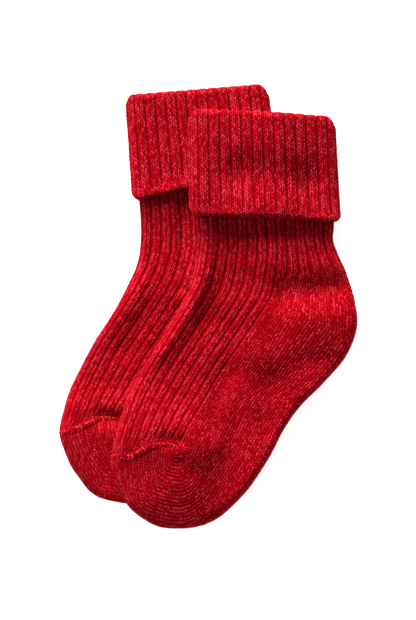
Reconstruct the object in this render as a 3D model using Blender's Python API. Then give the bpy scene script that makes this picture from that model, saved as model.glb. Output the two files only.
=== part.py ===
"""A pair of ribbed wool socks for a small child, laid flat, the upper one over the lower one.

Frame: X to the right, Y from the toes towards the cuffs, Z up. Z is 0 on the surface that
the pair lies on, and X and Y are 0 in the middle of the pair's outline. Sizes are in
millimetres until the meshes are made.

Each sock is one knitted tube of 150 wales, lying on its side. A wale here is a column of
stitch legs, and two of them make a column of stitches. Wale 0 is the fold at the left, over
the instep. Wales 0 to 75 are the side that faces up, and 75 is the fold at the right, behind
the heel and along the sole. Wales 75 to 150 are the side that faces down. A chord is one
course of the tube seen from above, from the left fold to the right one. The rows of a chord
table run from the mouth to the tip of the toe, and every place on the tube has a row, a wale
and a distance out from the cloth's face.
"""

import math
from collections import namedtuple

import bpy
import numpy as np

METRES = 0.001

# The knitting
WALES = 150
FACE_WALES = 75  # from fold to fold on one side
INSTEP_WALES = 43  # the ribbed ones on the foot; the rest of the side is heel and sole
RIB_WALES = 5  # two columns of stitches and the groove beside them
LEG_RIB = 0.9  # height of a rib above its grooves
CUFF_RIB = 1.0

# The cuff, which is the top of the leg turned outwards
LEG_WALL = 2.2
CUFF_WALL = 2.4
SEAM_GAP = 0.3
CUFF_REACH = LEG_WALL + SEAM_GAP + CUFF_WALL  # through both layers
CUFF_OUT = SEAM_GAP + CUFF_WALL  # from the leg's face to the cuff's
CREST = CUFF_REACH / 2  # radius of the turn at the mouth
CUFF_BEND = 5.5  # radius of its face at each fold
CUFF_WALE = 0.95  # width of a stitch there
CUFF_DEPTH = 46.0
CUFF_ROWS = 2  # the chord rows 0 to 2 span the cuff's depth
LIP = 3.2  # how far the cuff's inner lip reaches into the mouth
LEG_START = LIP + SEAM_GAP
HEM_ROUND = 1.15  # half the thickness of the cuff's free edge
HEM_LONG = 2.6  # the free edge is rounded over this length
SLOT = 0.45  # between the cuff and the leg that it covers

# The toe seam, a low ridge of linked loops on the instep side
SEAM_WIDE = 2.2
SEAM_HIGH = 0.9
SEAM_CLEAR = 0.7

# How the upper sock follows the lower one
DRAPE_CELL = 1.0
DRAPE_CLEAR = 0.65
FOOT_REACH = 3.0  # how far the cloth stays level past the lower sock's foot
FOOT_SLOPE = 0.36  # and how steeply it comes down from there
FOOT_ROUND = 5.0
CUFF_LEVEL = 13.0  # the same beside the lower cuff, where the cloth is stiff
CUFF_SLOPE = 3.0
CUFF_ROUND = 13.0
STIFFER_FROM, STIFFER_TO = 18.0, 42.0  # the y between which the one becomes the other

WOOL = (0.36, 0.006, 0.013, 1)
TOE_THREAD = (0.40, 0.008, 0.016, 1)

# depth is the flattened tube's thickness, wall its cloth's, rise the height of its underside,
# and rib_share the part of the chord that the 43 instep wales take.
Chord = namedtuple("Chord", "left_x left_y right_x right_y depth wall rise rib_share")
UPPER_CHORDS = [
    Chord(-5.7, 84.7, 52.8, 82.5, 5.6, 2.2, CUFF_OUT, 0.573),  # crest of the mouth
    Chord(-5.4, 61.6, 53.9, 59.4, 5.6, 2.2, CUFF_OUT, 0.573),
    Chord(-4.8, 38.7, 54.9, 36.5, 5.8, 2.2, CUFF_OUT, 0.573),  # free edge of the cuff
    Chord(-4.1, 28.8, 54.6, 28.8, 6.2, 2.2, 1.0, 0.580),
    Chord(-4.8, 21.8, 56.8, 22.2, 6.8, 2.2, 0.0, 0.568),  # ankle
    Chord(-5.8, 15.1, 60.5, 14.1, 7.6, 2.3, 0.0, 0.535),
    Chord(-7.9, 7.8, 64.1, 2.2, 8.3, 2.5, 0.0, 0.500),
    Chord(-10.7, 1.8, 65.0, -9.9, 8.7, 2.6, 0.0, 0.450),  # heel
    Chord(-14.1, -4.5, 60.0, -22.6, 8.7, 2.6, 0.0, 0.428),
    Chord(-18.1, -11.0, 50.3, -33.9, 8.2, 2.5, 0.0, 0.435),
    Chord(-22.0, -17.2, 40.4, -43.8, 7.7, 2.3, 0.0, 0.448),
    Chord(-26.4, -24.0, 33.0, -54.3, 7.4, 2.2, 0.0, 0.455),  # instep
    Chord(-30.3, -30.6, 27.9, -64.2, 7.3, 2.2, 0.0, 0.450),
    Chord(-33.5, -36.7, 23.4, -71.7, 7.5, 2.2, 0.0, 0.446),
    Chord(-36.7, -45.1, 17.9, -79.6, 8.0, 2.4, 0.0, 0.447),
    Chord(-39.4, -54.8, 11.7, -86.4, 8.7, 2.6, 0.0, 0.447),
    Chord(-41.8, -65.8, 4.1, -93.0, 9.2, 2.7, 0.0, 0.447),  # toe
    Chord(-40.9, -72.6, -4.2, -96.4, 9.3, 2.7, 0.0, 0.447),
    Chord(-38.7, -78.3, -12.6, -97.2, 9.0, 2.7, 0.1, 0.447),
    Chord(-35.8, -84.9, -20.0, -96.6, 7.6, 2.6, 0.8, 0.447),
    Chord(-32.8, -88.9, -24.6, -94.8, 3.6, 1.4, 2.8, 0.447),
    Chord(-28.8, -92.2, -28.8, -92.2, 0.0, 0.0, 4.6, 0.447),  # tip
]
LOWER_CHORDS = [
    Chord(-33.5, 92.0, 23.2, 96.6, 5.6, 2.2, CUFF_OUT, 0.573),
    Chord(-31.8, 68.3, 26.3, 72.5, 5.6, 2.2, CUFF_OUT, 0.573),
    Chord(-29.9, 45.3, 29.0, 49.1, 5.8, 2.2, CUFF_OUT, 0.573),
    Chord(-29.3, 35.4, 30.4, 38.1, 6.2, 2.2, 1.0, 0.583),
    Chord(-29.7, 24.4, 33.9, 30.6, 6.8, 2.2, 0.0, 0.565),
    Chord(-31.5, 16.5, 37.4, 22.7, 7.4, 2.3, 0.0, 0.532),
    Chord(-34.5, 9.9, 41.1, 10.8, 8.0, 2.5, 0.0, 0.498),
    Chord(-37.8, 3.3, 42.0, -1.1, 8.4, 2.6, 0.0, 0.448),
    Chord(-41.6, -3.3, 36.3, -13.4, 8.4, 2.6, 0.0, 0.434),
    Chord(-46.0, -10.1, 26.2, -24.6, 8.0, 2.5, 0.0, 0.448),
    Chord(-49.7, -15.8, 16.4, -34.2, 7.5, 2.3, 0.0, 0.462),
    Chord(-53.5, -22.7, 9.5, -45.1, 7.2, 2.2, 0.0, 0.464),
    Chord(-57.0, -29.7, 4.0, -54.8, 7.1, 2.2, 0.0, 0.456),
    Chord(-60.1, -36.3, -0.9, -62.3, 7.3, 2.2, 0.0, 0.450),
    Chord(-62.9, -45.1, -6.2, -70.2, 7.8, 2.4, 0.0, 0.447),
    Chord(-64.9, -55.7, -12.8, -77.7, 8.5, 2.6, 0.0, 0.447),
    Chord(-62.3, -64.5, -20.7, -83.8, 8.8, 2.7, 0.0, 0.447),
    Chord(-59.4, -71.1, -28.2, -86.7, 8.6, 2.7, 0.0, 0.447),
    Chord(-56.1, -75.9, -35.6, -86.7, 7.6, 2.6, 0.5, 0.447),
    Chord(-53.2, -79.9, -42.2, -85.6, 5.4, 2.0, 1.6, 0.447),
    Chord(-51.5, -81.6, -45.8, -84.7, 2.8, 1.2, 2.9, 0.447),
    Chord(-48.8, -83.6, -48.8, -83.6, 0.0, 0.0, 4.3, 0.447),
]

# The largest folds: soft ridges (height over 0) and troughs (under 0) of the side that faces
# up, each along a line and as wide as its spread.
Fold = namedtuple("Fold", "x y end_x end_y spread height")
UPPER_FOLDS = [
    Fold(33, 4, 58, 7, 7.5, -3.8),  # under the last ribs, where the heel turns
    Fold(43, -24, 52, -23, 4.5, -0.8),
    Fold(4, 24, 30, 24, 8.0, 1.0),
    Fold(6, 9, 46, 9, 9.0, -1.8),  # in front of the ankle
    Fold(2, -6, 28, -12, 15.0, -2.8),
    Fold(1, -6, 8, -10, 9.0, -1.6),
    Fold(13, -30, 26, -33, 9.0, -2.8),  # the hollow of the instep
    Fold(9, -20, 3, -52, 6.0, -1.6),  # along the sole's left side
    Fold(14, -42, 8, -66, 4.0, -0.8),
    Fold(-22, -55, -9, -56, 15.0, 4.8),  # the full front of the foot
    Fold(2, -64, 8, -66, 12.0, 1.6),
    Fold(-19, -57.5, -12, -58.5, 4.5, -1.2),  # behind the toe seam's end
    Fold(-10, -68, -8, -72, 4.5, -1.6),
    Fold(46, -43, 18, -84, 12.0, 4.0),  # the full sole
    Fold(22, -62, 12, -86, 9.0, 1.4),
    Fold(0.2, 33, -0.8, 20, 4.2, 2.0),  # the ridge along the left fold
    Fold(-1.6, 13, -8.0, -3, 4.2, 2.4),
    Fold(-12, -9, -20, -20.5, 4.2, 2.2),
    Fold(13, 55, 41, 54, 11.0, -2.6),  # across the cuff, below its crest
    Fold(20, 34, 38, 34, 5.0, -1.4),  # under the cuff's free edge
]
LOWER_FOLDS = [
    Fold(-37, -20, -26, -3, 5.5, -1.4),
    Fold(-60, -58, -42, -56, 13.0, 2.0),
    Fold(-60, -52, -46, -54, 8.0, 1.0),
    Fold(-54, -43, -40, -43, 7.0, 2.2),
    Fold(-46, -47.5, -40, -48, 4.5, -1.4),
    Fold(-28, 10, -34, -2, 3.5, 1.2),
    Fold(-10, 44, -11, 8, 4.5, -2.0),  # where the upper sock presses on the leg
    Fold(-15, -2, -22, -18, 4.5, -1.4),
    Fold(-19, 56, -6, 56, 8.0, -0.8),
]

# The toe seam, seen from above, from the left fold to its end at the side of the foot.
SeamPoint = namedtuple("SeamPoint", "x y")
UPPER_SEAM = [
    SeamPoint(-40.5, -66.2),
    SeamPoint(-34.3, -65.3),
    SeamPoint(-29.9, -63.6),
    SeamPoint(-26.4, -61.4),
    SeamPoint(-23.3, -60.5),
    SeamPoint(-18.9, -60.5),
    SeamPoint(-14.5, -60.9),
    SeamPoint(-12.3, -62.7),
]
LOWER_SEAM = [
    SeamPoint(-63.6, -56.3),
    SeamPoint(-61.6, -55.2),
    SeamPoint(-57.2, -53.9),
    SeamPoint(-51.9, -51.7),
    SeamPoint(-47.5, -49.9),
    SeamPoint(-43.0, -49.6),
    SeamPoint(-38.0, -50.4),
    SeamPoint(-34.0, -52.6),
]

# The cuff's hem: how far it falls short of the full depth, and how far it stands off the leg.
Hem = namedtuple("Hem", "wale short stand")
UPPER_HEM = [
    Hem(0, 0.2, 0.3),
    Hem(13, 0.2, 1.1),
    Hem(38, 0.3, 1.9),
    Hem(62, 0.1, 1.2),
    Hem(75, 0.1, 0.3),
    Hem(81, 0.2, 0.0),
    Hem(143, 0.4, 0.0),
]
LOWER_HEM = [
    Hem(0, 0.6, 0.3),
    Hem(11, 2.2, 1.1),
    Hem(28, 5.0, 1.6),
    Hem(47, 5.4, 1.2),
    Hem(64, 4.0, 0.6),
    Hem(75, 3.0, 0.2),
    Hem(81, 2.6, 0.0),
    Hem(143, 0.8, 0.0),
]

# How far the cuff's outline is rounded off at each fold, at its crest and at its hem.
Corners = namedtuple("Corners", "left_crest right_crest left_hem right_hem")
UPPER_CORNERS = Corners(2.6, 3.0, 1.4, 1.4)
LOWER_CORNERS = Corners(2.0, 3.6, 2.2, 1.4)
UNDER_CORNER = 1.5  # times which the leg's edge draws back, to stay clear inside

# Where the ribs end: rows counted along the chord tables.
HEEL_RIB_END = (5.5, 4.5)  # at the last instep wale and at the right fold
TOE_RIB_END = (15.1, 13.3)  # at the left fold and at the last instep wale
RIB_FADE = 0.7
INSTEP_TURN = 1.5  # wales by which the instep's ribs turn round the foot at most

# The mesh: rows of the outer and inner rings, and the wales of their points.
CUFF_PARTS = (0.15, 0.31, 0.48, 0.65, 0.84)  # of the way down to the hem
OUTER_ROWS = [
    *(CUFF_ROWS * part for part in CUFF_PARTS),
    1.92,
    *np.arange(2.2, 16, 0.6),
    *np.arange(16.3, 20.4, 0.5),
    20.7,
]
INNER_ROWS = [1.0, 2.2, 3.4, 4.4, *np.arange(5.2, 16.3, 1.1), 17.2, 18.2]
INNER_TIP_ROW = 18.8
FACE_POINTS = np.arange(RIB_WALES / 6, FACE_WALES, RIB_WALES / 3)
SIDE_POINTS = np.array([1.8, 3.6, 5.4, 7.4])  # round a fold
UNDER_POINTS = np.linspace(83, 142, 9)[1:-1]
OUTER_WALES = np.concatenate(
    [FACE_POINTS, FACE_WALES + SIDE_POINTS, UNDER_POINTS, WALES - SIDE_POINTS[::-1]]
)
INNER_WALES = np.concatenate(
    [[0, 2.5], np.linspace(6.5, 68.5, 11), [72.5, 75, 77.5], np.linspace(82, 143, 8), [147.5]]
)


def along(table, at):
    """Smooth curve through a table's rows, read at row numbers that may lie between rows."""
    rows = np.array(table, float)
    at = np.clip(np.asarray(at, float), 0, len(rows) - 1)
    low = np.minimum(at.astype(int), len(rows) - 2)
    t = (at - low)[..., None]
    start, end = rows[low], rows[low + 1]
    before = np.where(low[..., None] > 0, rows[low - 1], 2 * start - end)
    after = rows[np.minimum(low + 2, len(rows) - 1)]
    return (
        start
        + t * (end - before) / 2
        + t**2 * (before - 2.5 * start + 2 * end - after / 2)
        + t**3 * (1.5 * start - 1.5 * end + (after - before) / 2)
    )


def eased(t):
    """Rises from 0 to 1 as t does, with no corner at either end."""
    t = np.clip(t, 0, 1)
    return t * t * (3 - 2 * t)


class Sock:
    """The tube's form: where each row, wale and distance out lies."""

    def __init__(self, chords, folds, hem, corners, base):
        self.chords = chords
        self.folds = folds
        self.hem = hem
        self.corners = corners
        self.base = base  # height of what the sock lies on, from x and y

    def place(self, row, wale, out, reach=0):
        """Points at these rows, wales and distances out from the cloth's face.

        The wales are evenly spaced at this reach outside the face.
        """
        row, wale, out = np.broadcast_arrays(
            *(np.asarray(a, float) for a in (row, wale, out))
        )
        chord = along(self.chords, row)
        left, right = chord[..., 0:2], chord[..., 2:4]
        depth, rise, rib_share = chord[..., 4], chord[..., 6], chord[..., 7]
        width = np.linalg.norm(right - left, axis=-1)
        across = (right - left) / np.maximum(width, 1e-6)[..., None]
        rise = np.clip(rise, 0, None)
        radius = np.clip(depth / 2, 1e-4, 0.48 * width + 1e-4)
        wale = np.mod(wale, WALES)
        up = wale <= FACE_WALES
        from_left = np.where(up, wale, WALES - wale)
        share = np.where(
            from_left < INSTEP_WALES,
            rib_share * from_left / INSTEP_WALES,
            1
            - (1 - rib_share)
            * (FACE_WALES - from_left)
            / (FACE_WALES - INSTEP_WALES),
        )
        bend = radius + reach
        round_side = math.pi * bend / 2
        length = 2 * round_side + width - 2 * radius
        walked = share * length
        left_turn = np.clip(walked / bend, 0, math.pi / 2)
        right_turn = np.clip((length - walked) / bend, 0, math.pi / 2)
        straight = np.clip(walked - round_side, 0, width - 2 * radius)
        inward = -np.cos(left_turn) + np.cos(right_turn)
        side = radius + straight + (radius + out) * inward
        height = (radius + out) * np.minimum(np.sin(left_turn), np.sin(right_turn))
        level = radius + np.where(up, height, -height)
        plan = left + across * side[..., None]
        swell = self.fold_height(plan) * eased(depth / 5) / np.maximum(depth, 1)
        z = rise + level + swell * np.maximum(level, 0)
        z = z + self.base(plan[..., 0], plan[..., 1])
        return np.concatenate([plan, np.where(np.abs(z) < 1e-6, 0, z)[..., None]], -1)

    def fold_height(self, plan):
        """Height of the folds over these points of the plan."""
        height = np.zeros(plan.shape[:-1])
        for fold in self.folds:
            start = np.array([fold.x, fold.y])
            run = np.array([fold.end_x, fold.end_y]) - start
            t = np.clip((plan - start) @ run / (run @ run), 0, 1)
            off = np.linalg.norm(plan - start - t[..., None] * run, axis=-1)
            height += fold.height * np.exp(-((off / fold.spread) ** 2))
        return height

    def wall(self, row):
        return along(self.chords, row)[..., 5]

    def find(self, x, y):
        """The row and wale of the point of the side facing up that lies over x, y."""
        row, wale = 10.0, FACE_WALES / 2
        row_span, wale_span = 11.0, FACE_WALES / 2
        for _ in range(7):
            rows = np.clip(row + row_span * np.linspace(-1, 1, 25), 0, 20.9)[:, None]
            wales = np.clip(wale + wale_span * np.linspace(-1, 1, 25), 0, FACE_WALES)[None]
            near = self.place(rows, wales, 0)[..., :2] - (x, y)
            best = np.unravel_index(np.argmin((near**2).sum(-1)), near.shape[:2])
            row, wale = rows[best[0], 0], wales[0, best[1]]
            row_span, wale_span = row_span / 5, wale_span / 5
        return row, wale


def rib_form(wale):
    """0 on top of a rib, as at each fold, and -1 in the groove between two."""
    return np.abs(np.cos(math.pi * wale / RIB_WALES)) ** 0.7 - 1


def turned(row, wale):
    """The instep's wales, turned round its left fold between the ankle and the toe."""
    from_left = np.where(wale <= FACE_WALES, wale, WALES - wale)
    free = np.clip(1 - from_left / INSTEP_WALES, 0, 1)
    turn = eased((row - 4) / 5) - eased((row - 10.5) / 5)
    return wale - INSTEP_TURN * turn * free


def face_up(wale):
    """1 on the side that faces up, easing to 0 just under each fold."""
    past_fold = np.maximum(np.minimum(wale - FACE_WALES, WALES - wale), 0)
    return 1 - eased(past_fold / 5)


def leg_relief(row, wale):
    """Ribs of the leg and instep. They end where the heel turns and before the toe seam."""
    from_left = np.where(wale <= FACE_WALES, wale, WALES - wale)
    heel = (from_left - INSTEP_WALES) / (FACE_WALES - INSTEP_WALES)
    heel_end = HEEL_RIB_END[0] + (HEEL_RIB_END[1] - HEEL_RIB_END[0]) * heel
    toe = from_left / INSTEP_WALES
    toe_end = TOE_RIB_END[0] + (TOE_RIB_END[1] - TOE_RIB_END[0]) * toe
    end = np.where(from_left > INSTEP_WALES - 0.5, heel_end, toe_end)
    inside_cuff = eased((row - CUFF_ROWS - 0.05) / 0.2)
    shown = inside_cuff * (1 - eased((row - end) / RIB_FADE + 0.5)) * face_up(wale)
    return LEG_RIB * shown * rib_form(wale)


def ring_faces(rings, columns, closed):
    """Quads between rings of equal length. With closed, the last ring meets the first."""
    spans = rings if closed else rings - 1
    return [
        (
            i * columns + j,
            (i + 1) % rings * columns + j,
            (i + 1) % rings * columns + (j + 1) % columns,
            i * columns + (j + 1) % columns,
        )
        for i in range(spans)
        for j in range(columns)
    ]


def rim_faces(outer, inner, outer_start, inner_start):
    """Triangles between two closed loops whose points are at these wales."""
    faces = []
    i = j = 0
    while i < len(outer) or j < len(inner):
        next_outer = outer[i + 1] if i + 1 < len(outer) else WALES
        next_inner = inner[j + 1] if j + 1 < len(inner) else WALES
        a = outer_start + i % len(outer)
        b = inner_start + j % len(inner)
        if j >= len(inner) or (i < len(outer) and next_outer <= next_inner):
            i += 1
            faces.append((a, outer_start + i % len(outer), b))
        else:
            j += 1
            faces.append((a, inner_start + j % len(inner), b))
    return faces


def make_material(name, colour):
    material = bpy.data.materials.new(name)
    material.use_nodes = True
    shader = material.node_tree.nodes["Principled BSDF"]
    shader.inputs["Base Color"].default_value = colour
    shader.inputs["Roughness"].default_value = 0.9
    shader.inputs["Metallic"].default_value = 0.0
    return material


def make_object(name, points, faces, material):
    """One mesh object from points in millimetres."""
    mesh = bpy.data.meshes.new(name)
    mesh.from_pydata((np.asarray(points) * METRES).tolist(), [], faces)
    mesh.materials.append(material)
    mesh.shade_smooth()
    mesh.set_sharp_from_angle(angle=math.radians(50))
    piece = bpy.data.objects.new(name, mesh)
    bpy.context.scene.collection.objects.link(piece)
    return piece


def under_crest(sock, rows, wales):
    """The leg's rows inside the cuff, moved down where the cuff's crest is rounded off."""
    crest = corner_drop(wales, sock.corners.left_crest, sock.corners.right_crest)
    shift = UNDER_CORNER * crest / CUFF_DEPTH * CUFF_ROWS
    return rows + shift * np.clip(1 - rows / CUFF_ROWS, 0, None)


def make_tube(name, sock, material):
    """The knitted tube: ribbed outer face, plain inner face, open at the mouth."""
    first = LEG_START / CUFF_DEPTH * CUFF_ROWS
    outer_wales, inner_wales = OUTER_WALES[None], INNER_WALES[None]
    outer_rows = under_crest(sock, np.array([first, *OUTER_ROWS])[:, None], outer_wales)
    inner_rows = under_crest(sock, np.array([first, *INNER_ROWS])[:, None], inner_wales)
    relief = leg_relief(outer_rows, outer_wales)
    outer = sock.place(outer_rows, turned(outer_rows, outer_wales), relief)
    inner = sock.place(inner_rows, inner_wales, -sock.wall(inner_rows))
    tip = sock.place(len(sock.chords) - 1, 0, 0)
    inner_end = sock.place(INNER_TIP_ROW, [0, FACE_WALES], 0).mean(axis=0)
    n_out, n_in = outer.shape[1], inner.shape[1]
    inner_start = outer.shape[0] * n_out
    points = [*outer.reshape(-1, 3), *inner.reshape(-1, 3), tip, inner_end]
    tip_at, inner_end_at = len(points) - 2, len(points) - 1
    faces = ring_faces(outer.shape[0], n_out, False)
    faces += [
        tuple(inner_start + i for i in reversed(face))
        for face in ring_faces(inner.shape[0], n_in, False)
    ]
    faces += rim_faces(OUTER_WALES, INNER_WALES, 0, inner_start)
    last_out = inner_start - n_out
    last_in = tip_at - n_in
    faces += [(last_out + (j + 1) % n_out, last_out + j, tip_at) for j in range(n_out)]
    faces += [
        (last_in + j, last_in + (j + 1) % n_in, inner_end_at) for j in range(n_in)
    ]
    return make_object(name, points, faces, material)


def hem_at(hem, wale):
    """How short the hem is and how far it stands off, at these wales."""
    table = np.array([*hem, (WALES, *hem[0][1:])], float)
    wale = np.mod(wale, WALES)
    return [np.interp(wale, table[:, 0], table[:, k]) for k in (1, 2)]


def corner_drop(wale, at_left, at_right):
    """How far an edge of the cuff draws back at these wales, to round the outline off."""
    from_left = np.minimum(wale, WALES - wale)
    size = np.where(from_left < FACE_WALES / 2, at_left, at_right)
    from_fold = np.minimum(from_left, FACE_WALES - from_left)
    turn = np.clip(from_fold * CUFF_WALE / CUFF_BEND, 0, math.pi / 2)
    inside = np.clip(size - CUFF_BEND * (1 - np.cos(turn)), 0, None)
    return size - np.sqrt(size**2 - inside**2)


def swell(part):
    """How much of its stand the cuff's face has, this part of the way down to the hem."""
    return max(0, (part - 0.4) / 0.6) ** 1.3


def inner_swell(part):
    """The same for the cuff's inner side."""
    return float(eased((part - 0.35) / 0.4))


def cuff_profile(depth, stand):
    """The cuff's section, as (distance down from the crest, distance out, rib height).

    It runs from the lip inside the mouth, over the crest and down the outside, where it
    swells, to the hem, and back up the inside, close to the leg.
    """
    middle = CUFF_OUT - CREST
    rows = [(LIP, -LEG_WALL, 0)]
    for turn in (-90, -45, 0, 45):
        a = math.radians(turn)
        ribbed = max(0, math.sin(a + math.pi / 4)) * 0.7
        rows.append((CREST - CREST * math.cos(a), middle + CREST * math.sin(a), ribbed))
    for part in CUFF_PARTS:
        rows.append((part * depth, CUFF_OUT + stand * swell(part), 1))
    hem_out = CUFF_OUT - HEM_ROUND + stand
    for turn in (65, 20, -35, -90):
        a = math.radians(turn)
        rows.append(
            (
                depth - HEM_LONG * (1 - math.cos(a)),
                hem_out + HEM_ROUND * math.sin(a),
                0.7 if turn > 0 else 0,
            )
        )
    for part in reversed(CUFF_PARTS):
        rows.append((part * depth, SLOT + 0.9 * stand * inner_swell(part), 0))
    rows.append((LIP, SLOT, 0))
    return np.array(rows)


def cuff_points(sock, wales):
    """The cuff's points: a row for each point of its section, a column for each wale."""
    short, stand = hem_at(sock.hem, wales)
    crest = corner_drop(wales, sock.corners.left_crest, sock.corners.right_crest)
    short = short + corner_drop(wales, sock.corners.left_hem, sock.corners.right_hem)
    profiles = [
        cuff_profile(CUFF_DEPTH - s, h) for s, h in zip(short, stand, strict=True)
    ]
    down, out, ribbed = np.stack(profiles, axis=1).transpose(2, 0, 1)
    down = down + crest * (1 - down / (CUFF_DEPTH - short))
    relief = CUFF_RIB * ribbed * face_up(wales) * rib_form(wales)
    rows = down / CUFF_DEPTH * CUFF_ROWS
    return sock.place(rows, wales[None], out + relief, CUFF_OUT)


def make_cuff(name, sock, material):
    points = cuff_points(sock, OUTER_WALES)
    faces = ring_faces(points.shape[0], points.shape[1], True)
    return make_object(name, points.reshape(-1, 3), faces, material)


def make_toe_seam(name, sock, seam, material):
    """A low ridge that follows the tube's face, tapered at both ends."""
    places = np.array([sock.find(point.x, point.y) for point in seam])
    places = along(places, np.linspace(0, len(seam) - 1, 3 * len(seam) - 2))
    spine = sock.place(places[:, 0], places[:, 1], 0)
    out = sock.place(places[:, 0], places[:, 1], 1) - spine
    out /= np.linalg.norm(out, axis=1)[:, None]
    run = np.gradient(spine, axis=0)
    side = np.cross(out, run)
    side /= np.linalg.norm(side, axis=1)[:, None]
    taper = np.sin(np.linspace(0.25, math.pi - 0.25, len(spine))) ** 0.4
    section = [(-0.5, 0), (-0.28, 1), (0.28, 1), (0.5, 0)]
    points = [
        spine[i]
        + side[i] * SEAM_WIDE * taper[i] * across
        + out[i] * (SEAM_CLEAR + SEAM_HIGH * taper[i] * high)
        for i in range(len(spine))
        for across, high in section
    ]
    count = len(section)
    faces = ring_faces(len(spine), count, False)
    last = len(points) - count
    faces += [tuple(range(count)), tuple(last + j for j in reversed(range(count)))]
    make_object(name, points, faces, material)
    return np.array(points)


def drape_over(points, level, slope, rounding):
    """Height of cloth laid over these points, as a function of x and y.

    The cloth stays level for a distance past each point and comes down at a slope from
    there. The heights are then averaged over a disc, which rounds the cloth's bends.
    """
    top = points[:, 2].max() + DRAPE_CLEAR
    reach = level + top / slope
    pad = reach + 2 * rounding
    low = points[:, :2].min(axis=0) - pad
    size = np.ceil((points[:, :2].max(axis=0) + pad - low) / DRAPE_CELL).astype(int) + 1
    cell = np.rint((points[:, :2] - low) / DRAPE_CELL).astype(int)
    under = np.zeros(size)
    np.maximum.at(under, (cell[:, 0], cell[:, 1]), points[:, 2] + DRAPE_CLEAR)
    heights = under
    for i, j, away in disc_cells(reach):
        fall = slope * max(away - level, 0)
        heights = np.maximum(heights, np.roll(under, (i, j), (0, 1)) - fall)
    near = disc_cells(rounding)
    heights = np.mean([np.roll(heights, (i, j), (0, 1)) for i, j, _ in near], axis=0)

    def height(x, y):
        place = (np.stack([x, y], -1) - low) / DRAPE_CELL
        place = np.clip(place, 0, np.array(size) - 1.001)
        corner = np.floor(place).astype(int)
        i, j = corner[..., 0], corner[..., 1]
        u, v = place[..., 0] - i, place[..., 1] - j
        return (
            heights[i, j] * (1 - u) * (1 - v)
            + heights[i + 1, j] * u * (1 - v)
            + heights[i, j + 1] * (1 - u) * v
            + heights[i + 1, j + 1] * u * v
        )

    return height


def disc_cells(reach):
    """The cells of a disc round a cell, and how far away each is."""
    count = int(reach / DRAPE_CELL)
    cells = [(i, j) for i in range(-count, count + 1) for j in range(-count, count + 1)]
    cells = [(i, j, DRAPE_CELL * math.hypot(i, j)) for i, j in cells]
    return [(i, j, away) for i, j, away in cells if away <= reach + 0.5]


def base_for_upper(points):
    """What the upper sock lies on, with a wider slope under its stiff cuff."""
    foot = drape_over(points, FOOT_REACH, FOOT_SLOPE, FOOT_ROUND)
    cuff = drape_over(points, CUFF_LEVEL, CUFF_SLOPE, CUFF_ROUND)

    def height(x, y):
        stiff = eased((y - STIFFER_FROM) / (STIFFER_TO - STIFFER_FROM))
        return foot(x, y) * (1 - stiff) + cuff(x, y) * stiff

    return height


def sock_face(sock):
    """A close cloud of points over the side of a sock that faces up, its cuff included."""
    rows = np.linspace(CUFF_ROWS, len(sock.chords) - 1, 340)[:, None]
    wales = np.linspace(0, FACE_WALES, 200)
    tube = sock.place(rows, turned(rows, wales[None]), leg_relief(rows, wales[None]))
    cuff = cuff_points(sock, wales)
    steps = np.linspace(0, 1, 12)
    cuff = np.concatenate([cuff[:-1] + np.diff(cuff, axis=0) * t for t in steps])
    return np.concatenate([tube.reshape(-1, 3), cuff.reshape(-1, 3)])


def make_pair():
    for old in list(bpy.data.objects):
        bpy.data.objects.remove(old, do_unlink=True)
    wool = make_material("wool", WOOL)
    thread = make_material("toe_thread", TOE_THREAD)
    lower = Sock(LOWER_CHORDS, LOWER_FOLDS, LOWER_HEM, LOWER_CORNERS, lambda x, y: 0 * x)
    make_tube("lower_sock", lower, wool)
    make_cuff("lower_cuff", lower, wool)
    seam = make_toe_seam("lower_toe_seam", lower, LOWER_SEAM, thread)
    base = base_for_upper(np.concatenate([sock_face(lower), seam]))
    upper = Sock(UPPER_CHORDS, UPPER_FOLDS, UPPER_HEM, UPPER_CORNERS, base)
    make_tube("upper_sock", upper, wool)
    make_cuff("upper_cuff", upper, wool)
    make_toe_seam("upper_toe_seam", upper, UPPER_SEAM, thread)


make_pair()
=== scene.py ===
"""Looks of a pair of ribbed wool socks, laid flat, the upper one over the lower one.

The frame's solids hold each sock's form. This script knits the visible cloth on that form,
stitch by stitch: the tables and the Sock class give the place of every row and wale, the grids
give each part of the cloth its wales and courses, and the stitches lift the grid's points.
Lengths are in millimetres until the meshes are made. A stitch is a V with two legs. A wale
here is a column of such legs, so that two of them make a column of stitches, and a course is
a row of stitches. Wale 0 is the fold at the left and 75 the fold at the right; wales 0 to 75
face up and 75 to 150 face down.
"""

import math
from collections import namedtuple

import bpy
import numpy as np
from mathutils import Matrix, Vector


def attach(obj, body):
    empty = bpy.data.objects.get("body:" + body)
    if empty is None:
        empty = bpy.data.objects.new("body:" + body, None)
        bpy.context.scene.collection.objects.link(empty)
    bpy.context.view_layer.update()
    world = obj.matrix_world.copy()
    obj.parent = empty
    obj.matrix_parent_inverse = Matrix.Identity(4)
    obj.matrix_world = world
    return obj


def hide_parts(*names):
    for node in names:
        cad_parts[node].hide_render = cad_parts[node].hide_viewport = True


METRES = 0.001

# The photo's frame, and where the pair lies in it
PHOTO_WIDE, PHOTO_HIGH = 416, 620  # pixels
MM_A_PIXEL = 0.44
CENTRE_X, CENTRE_Y = 208, 305.5  # the pixel over the row frame's origin
CAMERA_UP = 1000.0

# The knitting
WALES = 150
FACE_WALES = 75
INSTEP_WALES = 43
RIB_WALES = 5
SOLE_START = 43.5  # the plain cloth of the heel, sole and toe starts beside this wale
COURSE = 1.3  # height of a stitch
CUFF_COURSE = 1.6
LEG_RIB = 0.55  # height of a rib above its grooves
CUFF_RIB = 0.85

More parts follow.
